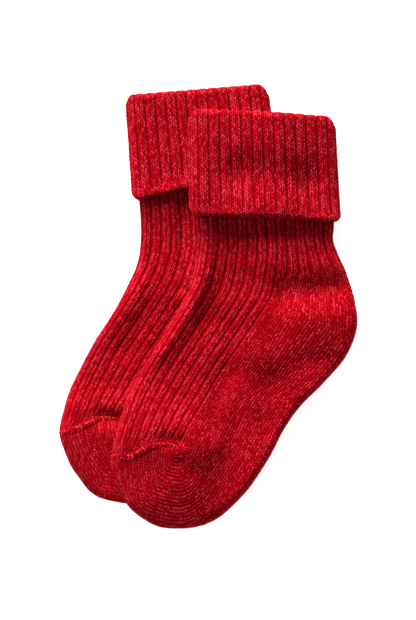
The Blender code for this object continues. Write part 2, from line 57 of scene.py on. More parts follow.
# The cuff, which is the top of the leg turned outwards
LEG_WALL = 2.2
CUFF_WALL = 2.4
SEAM_GAP = 0.3
CUFF_REACH = LEG_WALL + SEAM_GAP + CUFF_WALL  # through both layers
CUFF_OUT = SEAM_GAP + CUFF_WALL  # from the leg's face to the cuff's
CREST = CUFF_REACH / 2  # radius of the turn at the mouth
CUFF_BEND = 5.5  # radius of its face at each fold
CUFF_WALE = 0.95  # width of a wale there
CUFF_DEPTH = 46.0
CUFF_ROWS = 2  # the chord rows 0 to 2 span the cuff's depth
LIP = 3.2  # how far the cuff's inner lip reaches into the mouth
HEM_ROUND = 1.15  # half the thickness of the cuff's free edge
HEM_LONG = 2.6  # the hem is rounded over this length
HEM_FADE = 5.5  # the ribs sink into the hem over this length
HEM_RIB = 0.15  # and this much of them is left there
CREST_FADE = 7.0  # they sink into the crest over this length
CREST_RIB = 0.5  # and this much of them is left there
SWELL_FROM = 0.4  # share of the cuff's depth at which it starts to stand off the leg
SLOT = 0.45  # between the cuff and the leg that it covers

# The toe seam
SEAM_WIDE = 3.6
SEAM_HIGH = 0.75  # of the ridge over the cloth's ground
SEAM_LOW = -0.5
SEAM_LOOP = 1.5  # length of one linked loop
SEAM_THREAD = 0.05  # height of a thread on it
SEAM_END = 0.1  # the taper at its ends follows a sine from this angle on

# How the upper sock follows the lower one
DRAPE_CELL = 1.0
DRAPE_CLEAR = 0.5
FOOT_REACH = 3.0  # how far the cloth stays level past the lower sock's foot
FOOT_SLOPE = 0.36  # and how steeply it comes down from there
FOOT_ROUND = 5.0
CUFF_LEVEL = 13.0  # the same beside the lower cuff, where the cloth is stiff
CUFF_SLOPE = 3.0
CUFF_ROUND = 13.0
STIFFER_FROM, STIFFER_TO = 18.0, 42.0  # the y between which the one becomes the other

# Stitch relief
GROOVE_SHAPE = 0.5  # the smaller, the narrower the groove between two ribs
RIB_SPREAD = 0.05  # by how much a rib's four wales widen over the one between ribs
KNIT_HIGH = 0.38  # height of the yarn over the cuff's ground
PLAIN_HIGH = 0.25  # and elsewhere
SLANT = 1.2  # courses by which a stitch's leg rises across its wale
UNEVEN = 0.2  # by how much of its height a stitch may be higher or lower
COURSE_SHARE = 0.5  # how much of a stitch's height comes and goes along its wale

# Points to a course, and wales from one point to the next
FULL_STEPS = (4, 0.25)
TOE_SHARE = 0.8  # the toe has this many points to a course for one elsewhere

# The wool's look: how much each thing lightens or darkens it, and its colours. leg_line, stroke,
# parting and groove paint shade and light after the stitches' relief, the glint share paints a
# highlight of sheen in the colour pale, and strand, fibre and patch are the yarn's own uneven tone.
Look = namedtuple(
    "Look",
    "seed leg_line parting stroke strand fibre patch groove fleck_from fleck bump "
    "specular sheen sheen_tint dark middle bright pale",
)
WOOL = Look(
    seed=1, leg_line=0.45, parting=0.25, stroke=0.4, strand=0.24, fibre=0.42, patch=0.08,
    groove=0.25, fleck_from=0.6, fleck=0.35, bump=0.4, specular=0.01, sheen=0.05,
    sheen_tint=(1, 0.12, 0.25, 1), dark=(0.06, 0.0, 0.001, 1), middle=(0.34, 0.0004, 0.004, 1),
    bright=(0.84, 0.045, 0.085, 1), pale=(0.95, 0.11, 0.17, 1),
)
PLAIN_WOOL = WOOL._replace(leg_line=0.42, fleck=0.3)
CUFF_WOOL = WOOL._replace(
    seed=3, leg_line=0.5, parting=0.08, stroke=0.7, groove=0.32, fleck=0.5,
)
THREAD = WOOL._replace(seed=2, leg_line=0.4, stroke=0.8, groove=0.0, parting=0.0)
Looks = namedtuple("Looks", "leg foot cuff seam")
GROOVE_FROM, GROOVE_TO = 1.85, 2.15  # wales from a rib's middle where the painted shade of its groove sets in
FIBRE_WALES, FIBRE_COURSES = 2.2, 1.7  # how fine the fibres are, to a wale and to a course
PATCH_FINE = 90.0  # how fine the patches of lighter and darker yarn are
BUMP_DEEP = 0.0003
ROUGHNESS = 0.85
SHEEN_ROUGHNESS = 0.45

# The flat size of each part of a sock, all round the tube, in metres and square metres
Cut = namedtuple("Cut", "width length area")

# Light: a wide soft lamp beyond the cuffs and to the left, and pale surroundings
KEY_PLACE = (-0.75, 2.85, 1.45)
KEY_SIZE = 1.4
KEY_POWER = 260
SIDE_PLACE = (-1.10, 0.10, 0.65)
SIDE_SIZE = 0.8
SIDE_POWER = 4
WORLD_LIGHT = 0.22
FLOOR_GLOW = 0.85

# A chord is one course of the tube seen from above, from the left fold to the right one. depth
# is the flattened tube's thickness, rise the height of its underside and rib_share the part of
# the chord that the instep's wales take. The rows run from the mouth to the tip of the toe.
Chord = namedtuple("Chord", "left_x left_y right_x right_y depth rise rib_share")
UPPER_CHORDS = [
    Chord(-5.7, 84.7, 52.8, 82.5, 5.6, CUFF_OUT, 0.573),  # crest of the mouth
    Chord(-5.4, 61.6, 53.9, 59.4, 5.6, CUFF_OUT, 0.573),
    Chord(-4.8, 38.7, 54.9, 36.5, 5.8, CUFF_OUT, 0.573),  # free edge of the cuff
    Chord(-4.1, 28.8, 54.6, 28.8, 6.2, 1.0, 0.580),
    Chord(-4.8, 21.8, 56.8, 22.2, 6.8, 0.0, 0.568),  # ankle
    Chord(-5.8, 15.1, 60.5, 14.1, 7.6, 0.0, 0.535),
    Chord(-7.9, 7.8, 64.1, 2.2, 8.3, 0.0, 0.500),
    Chord(-10.7, 1.8, 65.0, -9.9, 8.7, 0.0, 0.450),  # heel
    Chord(-14.1, -4.5, 60.0, -22.6, 8.7, 0.0, 0.428),
    Chord(-18.1, -11.0, 50.3, -33.9, 8.2, 0.0, 0.435),
    Chord(-22.0, -17.2, 40.4, -43.8, 7.7, 0.0, 0.448),
    Chord(-26.4, -24.0, 33.0, -54.3, 7.4, 0.0, 0.455),  # instep
    Chord(-30.3, -30.6, 27.9, -64.2, 7.3, 0.0, 0.450),
    Chord(-33.5, -36.7, 23.4, -71.7, 7.5, 0.0, 0.446),
    Chord(-36.7, -45.1, 17.9, -79.6, 8.0, 0.0, 0.447),
    Chord(-39.4, -54.8, 11.7, -86.4, 8.7, 0.0, 0.447),
    Chord(-41.8, -65.8, 4.1, -93.0, 9.2, 0.0, 0.447),  # toe
    Chord(-40.9, -72.6, -4.2, -96.4, 9.3, 0.0, 0.447),
    Chord(-38.7, -78.3, -12.6, -97.2, 9.0, 0.1, 0.447),
    Chord(-35.8, -84.9, -20.0, -96.6, 7.6, 0.8, 0.447),
    Chord(-32.8, -88.9, -24.6, -94.8, 3.6, 2.8, 0.447),
    Chord(-28.8, -92.2, -28.8, -92.2, 0.0, 4.6, 0.447),  # tip
]
LOWER_CHORDS = [
    Chord(-33.5, 92.0, 23.2, 96.6, 5.6, CUFF_OUT, 0.573),
    Chord(-31.8, 68.3, 26.3, 72.5, 5.6, CUFF_OUT, 0.573),
    Chord(-29.9, 45.3, 29.0, 49.1, 5.8, CUFF_OUT, 0.573),
    Chord(-29.3, 35.4, 30.4, 38.1, 6.2, 1.0, 0.583),
    Chord(-29.7, 24.4, 33.9, 30.6, 6.8, 0.0, 0.565),
    Chord(-31.5, 16.5, 37.4, 22.7, 7.4, 0.0, 0.532),
    Chord(-34.5, 9.9, 41.1, 10.8, 8.0, 0.0, 0.498),
    Chord(-37.8, 3.3, 42.0, -1.1, 8.4, 0.0, 0.448),
    Chord(-41.6, -3.3, 36.3, -13.4, 8.4, 0.0, 0.434),
    Chord(-46.0, -10.1, 26.2, -24.6, 8.0, 0.0, 0.448),
    Chord(-49.7, -15.8, 16.4, -34.2, 7.5, 0.0, 0.462),
    Chord(-53.5, -22.7, 9.5, -45.1, 7.2, 0.0, 0.464),
    Chord(-57.0, -29.7, 4.0, -54.8, 7.1, 0.0, 0.456),
    Chord(-60.1, -36.3, -0.9, -62.3, 7.3, 0.0, 0.450),
    Chord(-62.9, -45.1, -6.2, -70.2, 7.8, 0.0, 0.447),
    Chord(-64.9, -55.7, -12.8, -77.7, 8.5, 0.0, 0.447),
    Chord(-62.3, -64.5, -20.7, -83.8, 8.8, 0.0, 0.447),
    Chord(-59.4, -71.1, -28.2, -86.7, 8.6, 0.0, 0.447),
    Chord(-56.1, -75.9, -35.6, -86.7, 7.6, 0.5, 0.447),
    Chord(-53.2, -79.9, -42.2, -85.6, 5.4, 1.6, 0.447),
    Chord(-51.5, -81.6, -45.8, -84.7, 2.8, 2.9, 0.447),
    Chord(-48.8, -83.6, -48.8, -83.6, 0.0, 4.3, 0.447),
]

# Soft ridges (height over 0) and troughs (under 0) of the side that faces up.
Fold = namedtuple("Fold", "x y end_x end_y spread height")
UPPER_FOLDS = [
    Fold(33, 4, 56, 7, 7.5, -3.4),  # under the last ribs, where the heel turns
    Fold(43, -24, 52, -23, 4.5, -0.8),
    Fold(4, 24, 30, 24, 8.0, 1.0),
    Fold(6, 9, 46, 9, 9.0, -1.8),  # in front of the ankle
    Fold(2, -6, 28, -12, 15.0, -2.8),
    Fold(1, -6, 8, -10, 9.0, -1.6),
    Fold(13, -30, 26, -33, 9.0, -2.8),  # the hollow of the instep
    Fold(9, -20, 3, -52, 6.0, -1.6),  # along the sole's left side
    Fold(14, -42, 8, -66, 4.0, -0.8),
    Fold(-22, -55, -9, -56, 15.0, 4.8),  # the full front of the foot
    Fold(2, -64, 8, -66, 12.0, 1.6),
    Fold(-19, -58, -12, -59, 3.5, -1.6),  # behind the toe seam's end
    Fold(-10, -68, -8, -72, 4.5, -1.6),
    Fold(46, -43, 18, -84, 12.0, 4.0),  # the full sole
    Fold(22, -62, 12, -86, 9.0, 1.4),
    Fold(0.2, 33, -0.8, 20, 4.2, 2.0),  # the ridge along the left fold
    Fold(-1.6, 13, -8.0, -3, 4.2, 2.4),
    Fold(-12, -9, -20, -20.5, 4.2, 2.2),
    Fold(13, 55, 41, 54, 11.0, -2.6),  # across the cuff, below its crest
    Fold(20, 34, 38, 34, 5.0, -1.4),  # under the cuff's free edge
]
LOWER_FOLDS = [
    Fold(-37, -20, -26, -3, 5.5, -1.4),
    Fold(-60, -58, -42, -56, 13.0, 2.0),
    Fold(-60, -52, -46, -54, 8.0, 1.0),
    Fold(-54, -43, -40, -43, 7.0, 2.2),
    Fold(-46, -48.8, -40, -49.4, 3.5, -2.4),
    Fold(-28, 10, -34, -2, 3.5, 1.2),
    Fold(-10, 44, -11, 8, 4.5, -2.0),  # where the upper sock presses on the leg
    Fold(-15, -2, -22, -18, 4.5, -1.4),
    Fold(-19, 56, -6, 56, 8.0, -0.8),
]

# Lines seen from above: the toe seam from the left fold to its end at the side of the foot,
# and the heel's gore, where the leg's wales turn into the sole's, from the ribs to the fold.
Spot = namedtuple("Spot", "x y")
UPPER_SEAM = [
    Spot(-40.5, -66.2),
    Spot(-34.3, -65.3),
    Spot(-29.9, -63.6),
    Spot(-26.4, -61.4),
    Spot(-23.3, -60.5),
    Spot(-18.9, -60.5),
    Spot(-14.5, -60.9),
    Spot(-12.3, -62.7),
]
LOWER_SEAM = [
    Spot(-63.6, -56.3),
    Spot(-61.6, -55.2),
    Spot(-57.2, -53.9),
    Spot(-51.9, -51.7),
    Spot(-47.5, -49.9),
    Spot(-43.0, -49.6),
    Spot(-38.0, -50.4),
    Spot(-34.0, -52.6),
]
UPPER_GORE = [
    Spot(23.6, 0.2),
    Spot(33.4, -3.5),
    Spot(45.2, -6.8),
    Spot(56.2, -11.6),
    Spot(66.9, -16.5),
]
LOWER_GORE = [
    Spot(-0.5, 8.8),
    Spot(9.4, 5.1),
    Spot(21.4, 1.8),
    Spot(32.6, -3.0),
    Spot(43.6, -7.6),
]

Hem = namedtuple("Hem", "wale short stand")
UPPER_HEM = [
    Hem(0, 0.2, 0.3),
    Hem(13, 0.2, 1.1),
    Hem(38, 0.3, 1.9),
    Hem(62, 0.1, 1.2),
    Hem(75, 0.1, 0.3),
    Hem(81, 0.2, 0.0),
    Hem(143, 0.4, 0.0),
]
LOWER_HEM = [
    Hem(0, 0.6, 0.3),
    Hem(11, 2.2, 1.1),
    Hem(28, 5.0, 1.6),
    Hem(47, 5.4, 1.2),
    Hem(64, 4.0, 0.6),
    Hem(75, 3.0, 0.2),
    Hem(81, 2.6, 0.0),
    Hem(143, 0.8, 0.0),
]

# How far the cuff's outline is rounded off at each fold, at its crest and at its hem
Corners = namedtuple("Corners", "left_crest right_crest left_hem right_hem")
UPPER_CORNERS = Corners(3.4, 3.8, 3.0, 2.6)
LOWER_CORNERS = Corners(2.4, 4.0, 3.2, 1.4)
UNDER_CORNER = 1.5  # times which the leg's edge draws back, to stay clear inside

# y of the ribs' ends at the instep and at the right fold, on the leg's right part
UPPER_RIB_END = (10.0, 19.0)
LOWER_RIB_END = (18.6, 27.6)

# Rows of the chord tables where the cloth changes
LEG_ROW = 0.15  # the leg's top edge, inside the cuff
HIDDEN_ROW = 1.7  # the leg above this is out of sight under the cuff
HEEL_ROW = 5.0  # the heel's own courses start
HEEL_FOLD_ROW = 7.75  # where the gore meets the right fold
SOLE_ROW = 9.3  # the sole's courses follow the chords from here
FOLD_WALES = 2.5  # wales past a fold that are still seen from above
UPPER_FACE_END = 84  # the sole's wales up to here are knitted finely
LOWER_FACE_END = 65
TOE_FEWER = 0.28  # share of the wales that end between the sole and the toe
TOE_FEWER_BY = 0.4  # all of them by this share of the toe's way round
SOLE_GUIDE = 59  # the wale along which the sole's courses are counted
RIB_FADE = 5.0  # length over which a rib sinks into the heel's plain cloth
RIB_STOP = 2.5  # the instep's ribs have ended at this distance from the seam
RIB_SINK = 6.0  # and start to sink this much further from it

# How the wales are turned round the foot: how many wales at most, the rows where the turn
# starts and where it starts to go back, and how many rows each of these takes
Turn = namedtuple("Turn", "most start back rows")
SOLE_TURN = Turn(1.0, 7.2, 10.9, 3.4)
INSTEP_TURN = Turn(1.5, 4.0, 10.5, 5.0)
SOLE_FREE = 12  # the sole's wales beyond this many from the ribs turn in full


def eased(t):
    """Rises from 0 to 1 as t does, with no corner at either end."""
    t = np.clip(t, 0, 1)
    return t * t * (3 - 2 * t)


def along(table, at):
    """Smooth curve through a table's rows, read at row numbers that may lie between rows."""
    rows = np.array(table, float)
    at = np.clip(np.asarray(at, float), 0, len(rows) - 1)
    low = np.minimum(at.astype(int), len(rows) - 2)
    t = (at - low)[..., None]
    start, end = rows[low], rows[low + 1]
    before = np.where(low[..., None] > 0, rows[low - 1], 2 * start - end)
    after = rows[np.minimum(low + 2, len(rows) - 1)]
    return (
        start
        + t * (end - before) / 2
        + t**2 * (before - 2.5 * start + 2 * end - after / 2)
        + t**3 * (1.5 * start - 1.5 * end + (after - before) / 2)
    )


class Sock:
    """The tube's form. A place on it is a row, a way round and a distance out.

    The way round starts at the left fold, crosses the side that faces up and comes back on
    the side that faces down. The developed plane is the side that faces up, unrolled over its
    folds and its tip, and it agrees with the plan wherever the cloth lies flat.
    """

    STEP = 0.01
    TIP_TURN_ROW = 17  # the tip's rounding starts here
    FOLD_RADIUS = 2.5  # the soft folds fade out where the tube is thinner than this each way

    def __init__(self, name, chords, folds, hem, corners, seam, gore, rib_end, base):
        self.name = name
        self.corners = corners
        self.tip_row = len(chords) - 1
        self.rows = np.arange(0, self.tip_row + self.STEP / 2, self.STEP)
        self.chords = along(chords, self.rows)
        self.folds = folds
        self.hem = hem
        self.rib_end = rib_end
        self.base = base
        self.unroll = np.zeros(len(self.rows))
        self.unroll = self.unrolled()
        self.gore = self.gore_line(gore)
        self.seam = self.seam_line(seam)

    def read(self, row):
        """The chords at these rows: left end, direction, width, radius, rise, rib share."""
        row = np.asarray(row, float)
        values = [np.interp(row, self.rows, column) for column in self.chords.T]
        left = np.stack(values[0:2], -1)
        right = np.stack(values[2:4], -1)
        width = np.linalg.norm(right - left, axis=-1)
        across = (right - left) / np.maximum(width, 1e-6)[..., None]
        radius = np.clip(values[4] / 2, 1e-4, 0.48 * width + 1e-4)
        return left, across, width, radius, np.clip(values[5], 0, None), values[6]

    def unrolled(self):
        """How far past its chord each row lies in the developed plane: the tip's turn."""
        left, across, width, radius, rise, _ = self.read(self.rows)
        middle = left + across * width[:, None] / 2
        plan = np.linalg.norm(np.diff(middle, axis=0), axis=1)
        climb = np.diff(rise + 2 * radius)
        extra = np.hypot(plan, climb) - plan
        extra[self.rows[1:] < self.TIP_TURN_ROW] = 0
        return np.concatenate([[0], np.cumsum(extra)])

    def half_way(self, row):
        """Length of the way round from the left fold to the right one."""
        _, _, width, radius, _, _ = self.read(row)
        return (math.pi - 2) * radius + width

    def way(self, row, wale, reach=0):
        """The way round at which a wale lies, if the wales are even at this reach outwards."""
        row, wale = np.broadcast_arrays(np.asarray(row, float), np.asarray(wale, float))
        _, _, width, radius, _, rib_share = self.read(row)
        wale = np.mod(wale, WALES)
        up = wale <= FACE_WALES
        from_left = np.where(up, wale, WALES - wale)
        plain = (FACE_WALES - from_left) / (FACE_WALES - INSTEP_WALES)
        ribbed = rib_share * from_left / INSTEP_WALES
        share = np.where(from_left < INSTEP_WALES, ribbed, 1 - (1 - rib_share) * plain)
        straight = width - 2 * radius
        turn = math.pi / 2 * radius
        wide_turn = math.pi / 2 * (radius + reach)
        walked = share * (2 * wide_turn + straight)
        left_turn = np.clip(walked / wide_turn, 0, 1)
        right_turn = np.clip((walked - wide_turn - straight) / wide_turn, 0, 1)
        walked = (left_turn + right_turn) * turn + np.clip(walked - wide_turn, 0, straight)
        return np.where(up, walked, 2 * (2 * turn + straight) - walked)

    def place(self, row, way, out=0):
        """Points at these rows, ways round and distances out from the cloth's face."""
        row, way, out = np.broadcast_arrays(*(np.asarray(a, float) for a in (row, way, out)))
        left, across, width, radius, rise, _ = self.read(row)
        quarter = math.pi * radius / 2
        half = 2 * quarter + width - 2 * radius
        way = np.mod(way, 2 * half)
        up = way <= half
        walked = np.where(up, way, 2 * half - way)
        left_turn = np.clip(walked / radius, 0, math.pi / 2)
        right_turn = np.clip((half - walked) / radius, 0, math.pi / 2)
        straight = np.clip(walked - quarter, 0, width - 2 * radius)
        inward = -np.cos(left_turn) + np.cos(right_turn)
        side = radius + straight + (radius + out) * inward
        height = (radius + out) * np.minimum(np.sin(left_turn), np.sin(right_turn))
        level = radius + np.where(up, height, -height)
        plan = left + across * side[..., None]
        fade = eased(radius / self.FOLD_RADIUS)
        swell = self.fold_height(plan) * fade / np.maximum(2 * radius, 1)
        z = rise + level + swell * np.maximum(level, 0)
        z = z + self.base(plan[..., 0], plan[..., 1])
        return np.concatenate([plan, z[..., None]], -1)

    def fold_height(self, plan):
        """Height of the folds over these points of the plan."""
        height = np.zeros(plan.shape[:-1])
        for fold in self.folds:
            start = np.array([fold.x, fold.y])
            run = np.array([fold.end_x, fold.end_y]) - start
            t = np.clip((plan - start) @ run / (run @ run), 0, 1)
            off = np.linalg.norm(plan - start - t[..., None] * run, axis=-1)
            height += fold.height * np.exp(-((off / fold.spread) ** 2))
        return height

    def develop(self, row, way):
        """The developed plane's point for a row and a way round."""
        row, way = np.broadcast_arrays(np.asarray(row, float), np.asarray(way, float))
        left, across, _, radius, _, _ = self.read(row)
        toe_ward = np.stack([across[..., 1], -across[..., 0]], -1)
        start = left + toe_ward * np.interp(row, self.rows, self.unroll)[..., None]
        return start + across * (way - (math.pi / 2 - 1) * radius)[..., None]

    def find(self, point):
        """The rows and ways round of points of the developed plane."""
        low = np.zeros(point.shape[:-1])
        high = np.full(point.shape[:-1], float(self.tip_row))
        for _ in range(24):
            row = (low + high) / 2
            left, across, _, _, _, _ = self.read(row)
            off = point - left
            past = off[..., 0] * across[..., 1] - off[..., 1] * across[..., 0]
            past = past - np.interp(row, self.rows, self.unroll)
            low = np.where(past > 0, row, low)
            high = np.where(past > 0, high, row)
        left, across, _, radius, _, _ = self.read(row)
        return row, ((point - left) * across).sum(-1) + (math.pi / 2 - 1) * radius

    def gore_line(self, gore):
        """The gore in the developed plane, with its ends on the ribs and on the fold."""
        line = np.array(gore, float)
        row, _ = self.find(line[0])
        line[0] = self.develop(row, self.way(row, SOLE_START))
        line[-1] = self.develop(HEEL_FOLD_ROW, self.half_way(HEEL_FOLD_ROW))
        return line

    def seam_line(self, seam):
        """The toe seam in the developed plane, from the side of the foot to the left fold."""
        line = np.array(seam, float)[::-1]
        row, _ = self.find(line[[0, -1]])
        line[0] = self.develop(row[0], self.way(row[0], SOLE_START))
        line[-1] = self.develop(row[1], 0)
        return along(line, np.linspace(0, len(line) - 1, 60))


def facing_up(wale):
    """The wale of the side facing up that lies over each wale."""
    return np.where(wale <= FACE_WALES, np.abs(wale), WALES - wale)


def turn_at(turn, row):
    """By how many wales the cloth is turned round the foot at these rows."""
    return turn.most * (
        eased((row - turn.start) / turn.rows) - eased((row - turn.back) / turn.rows)
    )


def turned_sole(row, wale):
    """The sole's wales, turned round the foot between the heel and the toe."""
    free = eased((facing_up(wale) - SOLE_START) / SOLE_FREE)
    return wale - turn_at(SOLE_TURN, row) * free


def turned_instep(row, wale):
    """The instep's wales, turned round its left fold between the ankle and the toe."""
    free = np.clip(1 - facing_up(wale) / INSTEP_WALES, 0, 1)
    return wale - turn_at(INSTEP_TURN, row) * free


def run_of(points):
    """Distance along each column of points, from its first row."""
    steps = np.linalg.norm(np.diff(points, axis=0), axis=-1)
    return np.concatenate([np.zeros((1, *steps.shape[1:])), np.cumsum(steps, axis=0)])


def evenly(sock, first, last, guide, fine):
    """Rows from first to last, even along a guide wale, and the course number of each."""
    rows = np.linspace(first, last, 400)
    run = run_of(sock.develop(rows, sock.way(rows, guide)))
    count = max(2, round(run[-1] / COURSE))
    at = np.linspace(0, run[-1], round(count * fine) + 1)
    return np.interp(at, run, rows), at / run[-1] * count


# One part of the cloth, row by row: points, the wale and course of each, and how much of a rib
# is there.
Grid = namedtuple("Grid", "points wale course ribbed")


def make_grid(points, wale, course, ribbed):
    shape = points.shape[:2]
    return Grid(points, *(np.broadcast_to(a, shape) for a in (wale, course, ribbed)))


def heel_ribbed(sock, points, over):
    """How much of the leg's ribs is left at these points of its right part."""
    end = np.interp(over, (SOLE_START, FACE_WALES), sock.rib_end)
    return eased((points[..., 1] - end) / RIB_FADE + 0.5)


def instep_grid(sock, wales, fine):
    """The ribs from under the cuff down the leg's left part and the instep to the seam."""
    seam_row, seam_way = sock.find(sock.seam)
    seam_wale = seam_way / sock.way(seam_row, INSTEP_WALES) * INSTEP_WALES
    order = np.argsort(seam_wale)
    end = np.interp(facing_up(wales), seam_wale[order], seam_row[order])[None]
    leg, leg_course = evenly(sock, HIDDEN_ROW, HEEL_ROW, SOLE_START, fine)
    foot, foot_course = evenly(sock, HEEL_ROW, seam_row[0], INSTEP_WALES / 2, fine)
    rows = np.concatenate([leg, foot[1:]])[:, None]
    course = np.concatenate([leg_course, leg_course[-1] + foot_course[1:]])[:, None]
    part = np.clip((rows - HEEL_ROW) / (seam_row[0] - HEEL_ROW), 0, 1)
    rows = rows + part * (end - seam_row[0])
    points = sock.place(rows, sock.way(rows, turned_instep(rows, wales)))
    before_seam = (1 - part) * run_of(points)[-1]
    edge = eased(facing_up(wales) - (INSTEP_WALES - 0.5))
    beside_plain = 1 - edge * (1 - heel_ribbed(sock, points, facing_up(wales)))
    ribbed = eased((before_seam - RIB_STOP) / RIB_SINK) * beside_plain
    return make_grid(points, wales, course, ribbed)


def heel_paths(sock, wales, fine):
    """Rows and ways of the heel's wales above the gore, and below it as far as SOLE_ROW."""
    over = facing_up(wales)
    below = wales > FACE_WALES
    part = (over - SOLE_START) / (FACE_WALES - SOLE_START)
    gore = along(sock.gore, part * (len(sock.gore) - 1))
    gore_row, _ = sock.find(gore)
    start = sock.develop(HEEL_ROW, sock.way(HEEL_ROW, over))
    end_way = sock.way(SOLE_ROW, turned_sole(SOLE_ROW, wales))
    end_way = np.where(below, 2 * sock.half_way(SOLE_ROW) - end_way, end_way)
    end = sock.develop(SOLE_ROW, end_way)
    by_form = np.maximum(1 - eased((over - SOLE_START) / 3), eased((over - 65) / 10))

    def path(t, first, last, first_row, last_row):
        straight = first + t[..., None] * (last - first)
        row, way = sock.find(straight)
        way = np.where(below, 2 * sock.half_way(row) - way, way)
        form_row = first_row + t * (last_row - first_row)
        form_way = sock.way(form_row, turned_sole(form_row, wales))
        share = way / sock.half_way(row)
        form_share = form_way / sock.half_way(form_row)
        row = row + by_form * (form_row - row)
        return row, (share + by_form * (form_share - share)) * sock.half_way(row)

    courses = np.linalg.norm(gore - start, axis=-1) / COURSE
    steps = np.arange(0, courses.max() + 1 / fine, 1 / fine)[:, None]
    above = path(np.clip(steps / courses, 0, 1), start, gore, HEEL_ROW, gore_row)
    count = round(np.linalg.norm(end - gore, axis=-1).mean() / COURSE)
    t = np.linspace(0, 1, round(count * fine) + 1)[:, None]
    below_gore = path(np.broadcast_to(t, (len(t), len(wales))), gore, end, gore_row, SOLE_ROW)
    return (*above, np.minimum(steps, courses)), (*below_gore, t * count)


def heel_grids(sock, wales, fine):
    """The heel, from HEEL_ROW to the gore and from there to SOLE_ROW."""
    (row, way, course), (next_row, next_way, next_course) = heel_paths(sock, wales, fine)
    points = sock.place(row, way)
    ribbed = heel_ribbed(sock, points, facing_up(wales))
    _, leg_course = evenly(sock, HIDDEN_ROW, HEEL_ROW, SOLE_START, fine)
    return [
        make_grid(points, wales, leg_course[-1] + course, ribbed),
        make_grid(sock.place(next_row, next_way), wales, next_course, 0),
    ]


def leg_grid(sock, wales, fine):
    """The ribs of the leg's right part, from under the cuff to HEEL_ROW."""
    rows, course = evenly(sock, HIDDEN_ROW, HEEL_ROW, SOLE_START, fine)
    rows = rows[:, None]
    points = sock.place(rows, sock.way(rows, np.broadcast_to(wales, (len(rows), len(wales)))))
    ribbed = heel_ribbed(sock, points, facing_up(wales))
    return make_grid(points, wales, course[:, None], ribbed)


def sole_grid(sock, wales, fine):
    seam_row, _ = sock.find(sock.seam[0])
    rows, course = evenly(sock, SOLE_ROW, seam_row, SOLE_GUIDE, fine)
    rows = rows[:, None]
    points = sock.place(rows, sock.way(rows, turned_sole(rows, wales)))
    return make_grid(points, wales, course[:, None], 0)


def toe_grid(sock, wales, fine):
    """The toe: its wales run in arcs round the seam's end, from the sole to the seam."""
    centre = sock.seam[0]
    seam_row, _ = sock.find(sock.seam[[0, -1]])
    right = np.linspace(seam_row[0], sock.tip_row, 200)
    left = np.linspace(sock.tip_row, seam_row[1], 200)[1:]
    rim = [sock.develop(right, sock.half_way(right)), sock.develop(left, 0 * left)]
    rim = np.concatenate(rim)
    run = run_of(rim)
    count = round(run[-1] / COURSE)
    t = np.linspace(0, 1, round(count * fine) + 1)
    rim = np.stack([np.interp(t * run[-1], run, rim[:, k]) for k in (0, 1)], -1)
    over = facing_up(wales)
    part = (over - SOLE_START) / (FACE_WALES - SOLE_START)
    point = centre + part[None, :, None] * (rim[:, None] - centre)
    on_seam = [np.interp(part, np.linspace(0, 1, len(sock.seam)), sock.seam[:, k]) for k in (0, 1)]
    late = eased((t[:, None, None] - 0.7) / 0.3)
    point = point + late * (np.stack(on_seam, -1)[None] - point[-1:])
    row, way = sock.find(point)
    way = np.where(wales > FACE_WALES, 2 * sock.half_way(row) - way, way)
    wale_part = (facing_up(np.round(wales)) - SOLE_START) / (FACE_WALES - SOLE_START)
    course = t[:, None] * count * np.clip(wale_part, 0.1, 1)
    fewer = 1 - TOE_FEWER * eased(t / TOE_FEWER_BY)[:, None]
    counted = SOLE_START + (wales - SOLE_START) * fewer
    return make_grid(sock.place(row, way), counted, course, 0)


def hidden_leg_grid(sock):
    """The leg's edge inside the cuff, from the inner face round it and down the outer face."""
    rows = np.array([1.0, 0.6, 0.3, LEG_ROW, LEG_ROW, 0.3, 0.6, 1.2, 1.5, HIDDEN_ROW])[:, None]
    outs = np.array([-LEG_WALL] * 4 + [-0.5] * 4 + [-0.3, 0])[:, None]
    wales = np.append(np.arange(0, WALES, 1.0), WALES)
    crest = corner_drop(wales, sock.corners.left_crest, sock.corners.right_crest)
    shift = UNDER_CORNER * crest / CUFF_DEPTH * CUFF_ROWS
    rows = rows + shift * np.clip(1 - rows / HIDDEN_ROW, 0, None)
    way = sock.way(rows, np.broadcast_to(np.mod(wales, WALES), rows.shape))
    return make_grid(sock.place(rows, way, outs), wales, rows, 0)


def hem_at(hem, wale):
    """How short the hem is and how far it stands off, at these wales."""
    table = np.array([*hem, (WALES, *hem[0][1:])], float)
    wale = np.mod(wale, WALES)
    return [np.interp(wale, table[:, 0], table[:, k]) for k in (1, 2)]


def corner_drop(wale, at_left, at_right):
    """How far an edge of the cuff draws back at these wales, to round the outline off."""
    from_left = facing_up(np.mod(wale, WALES))
    size = np.where(from_left < FACE_WALES / 2, at_left, at_right)
    from_fold = np.minimum(from_left, FACE_WALES - from_left)
    turn = np.clip(from_fold * CUFF_WALE / CUFF_BEND, 0, math.pi / 2)
    inside = np.clip(size - CUFF_BEND * (1 - np.cos(turn)), 0, None)
    return size - np.sqrt(size**2 - inside**2)


def crest_rib(down):
    """How much of a rib is there at these distances down from the crest."""
    return CREST_RIB + (1 - CREST_RIB) * eased(down / CREST_FADE)


